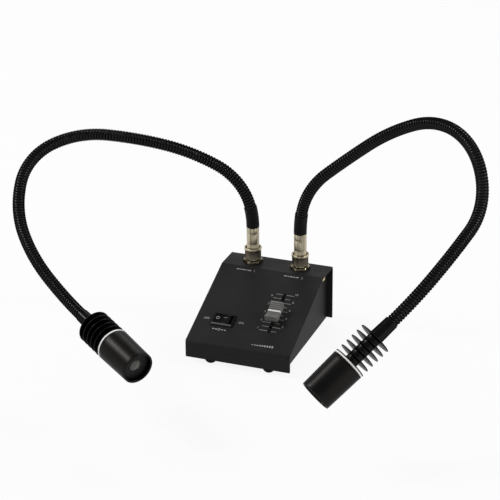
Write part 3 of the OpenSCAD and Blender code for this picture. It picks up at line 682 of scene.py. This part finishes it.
half_line = [(CAP_BASE_W / 2 - 0.1, LINE_FOOT), (CAP_TOP_W / 2 + 0.12, CAP_MIDDLE - 0.35),
             (CAP_TOP_W / 2 - 0.12, CAP_MIDDLE + 0.03)]
across = [(-x, z) for x, z in half_line] + half_line[::-1]
verts = [cap_place @ Vector((x, y, z)) for y in (-LINE_HALF, LINE_HALF) for x, z in across]
faces = [(j, j + 1, j + 7, j + 6) for j in range(5)]
line = piece("fader_cap_line", verts, faces, "line_white", smooth=False)
solid = line.modifiers.new("thick", "SOLIDIFY")
solid.thickness = LINE_T * MM
solid.offset = 0
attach(line, "fader")

# ---------------------------------------------------------------- stage and world
SOFT_LIGHT, WHITE = 0.35, (1, 1, 1, 1)
FLOOR_COLOUR, FLOOR_GLOW, FLOOR_SIZE = (0.86, 0.86, 0.86, 1), 0.9, 12
HORIZON_FROM, HORIZON_TO = 0.06, 0.36
MIRRORED_RAYS = ("Is Glossy Ray", "Is Transmission Ray")
BACKDROP_RAYS = ("Is Camera Ray", *MIRRORED_RAYS)


def any_of(nodes, links, path, names):
    """1 where the ray is of one of the named kinds, else 0."""
    value = path.outputs[names[0]]
    for name in names[1:]:
        value = combine(nodes, links, "MAXIMUM", value, path.outputs[name])
    return value


def floor_material():
    """Near white for the camera, mirrors and glass, with the object's shadow, and plain matt for other rays."""
    mat = bpy.data.materials.new("floor")
    nodes, links = empty_tree(mat)
    matt = nodes.new("ShaderNodeBsdfDiffuse")
    matt.inputs[0].default_value = FLOOR_COLOUR
    glow = nodes.new("ShaderNodeEmission")
    glow.inputs[1].default_value = 1.0
    path = nodes.new("ShaderNodeLightPath")
    share = combine(nodes, links, "MULTIPLY", any_of(nodes, links, path, BACKDROP_RAYS), FLOOR_GLOW)
    mix_to_output(nodes, links, "ShaderNodeOutputMaterial", share, matt, glow)
    return mat


def background(nodes, strength):
    n = nodes.new("ShaderNodeBackground")
    n.inputs[0].default_value = WHITE
    n.inputs[1].default_value = strength
    return n


def studio_world():
    """White for the camera. Mirrors and glass see white up to just above the horizon, and soft light overhead."""
    world = bpy.data.worlds.new("studio")
    nodes, links = empty_tree(world)
    path = nodes.new("ShaderNodeLightPath")
    direction = nodes.new("ShaderNodeTexCoord")
    height = nodes.new("ShaderNodeSeparateXYZ")
    links.new(direction.outputs["Generated"], height.inputs[0])
    low = spread(nodes, links, height.outputs[2], 1.0, 0.0, HORIZON_FROM, HORIZON_TO)
    mirrored = combine(nodes, links, "MULTIPLY", any_of(nodes, links, path, MIRRORED_RAYS), low)
    shown = combine(nodes, links, "MAXIMUM", path.outputs["Is Camera Ray"], mirrored)
    soft_light, backdrop = background(nodes, SOFT_LIGHT), background(nodes, 1.0)
    mix_to_output(nodes, links, "ShaderNodeOutputWorld", shown, soft_light, backdrop)
    return world


bpy.ops.mesh.primitive_plane_add(size=FLOOR_SIZE, location=(0, 0, 0))
floor = bpy.context.object
floor.name = "floor"
floor.data.materials.append(floor_material())
bpy.context.scene.world = studio_world()

# ---------------------------------------------------------------- lights, aimed at the middle of the part
LIGHT_TARGET = Vector((0, 0, 0.05))
# Each row: place and size in metres, power in watts
SOFTBOXES = {
    "key": ((-1.25, -0.38, 1.35), (0.28, 0.4), 15),
    "back": ((-0.42, 1.28, 1.1), (0.8, 0.5), 6),
    "side": ((1.31, 0.22, 0.95), (0.26, 0.45), 7.5),
}
for name, (place, size, power) in SOFTBOXES.items():
    data = bpy.data.lights.new(name, "AREA")
    data.shape = "RECTANGLE"
    data.size, data.size_y = size
    data.energy = power
    lamp = bpy.data.objects.new(name, data)
    lamp.location = place
    lamp.rotation_euler = (LIGHT_TARGET - Vector(place)).to_track_quat("-Z", "Y").to_euler()
    bpy.context.scene.collection.objects.link(lamp)

# ---------------------------------------------------------------- camera, as solved from the photo
CAM_PLACE = Vector((508.9, -1361.94, 735.81))
CAM_RIGHT, CAM_FORWARD = Vector((0.936, 0.352, -0.0075)), Vector((-0.3238, 0.8524, -0.4105))
SENSOR, FOCAL_LENGTH, CLIP_END = 36, 144.0, 50
back = -CAM_FORWARD.normalized()
right = (CAM_RIGHT - back * CAM_RIGHT.dot(back)).normalized()
cam_data = bpy.data.cameras.new("camera")
cam_data.sensor_width = SENSOR
cam_data.sensor_height = SENSOR
cam_data.lens = FOCAL_LENGTH
cam_data.clip_end = CLIP_END
cam = bpy.data.objects.new("camera", cam_data)
bpy.context.scene.collection.objects.link(cam)
place = Matrix((right, back.cross(right), back)).transposed().to_4x4()
place.translation = CAM_PLACE * MM
cam.matrix_world = place
bpy.context.scene.camera = cam
bpy.context.scene.view_settings.view_transform = "Standard"
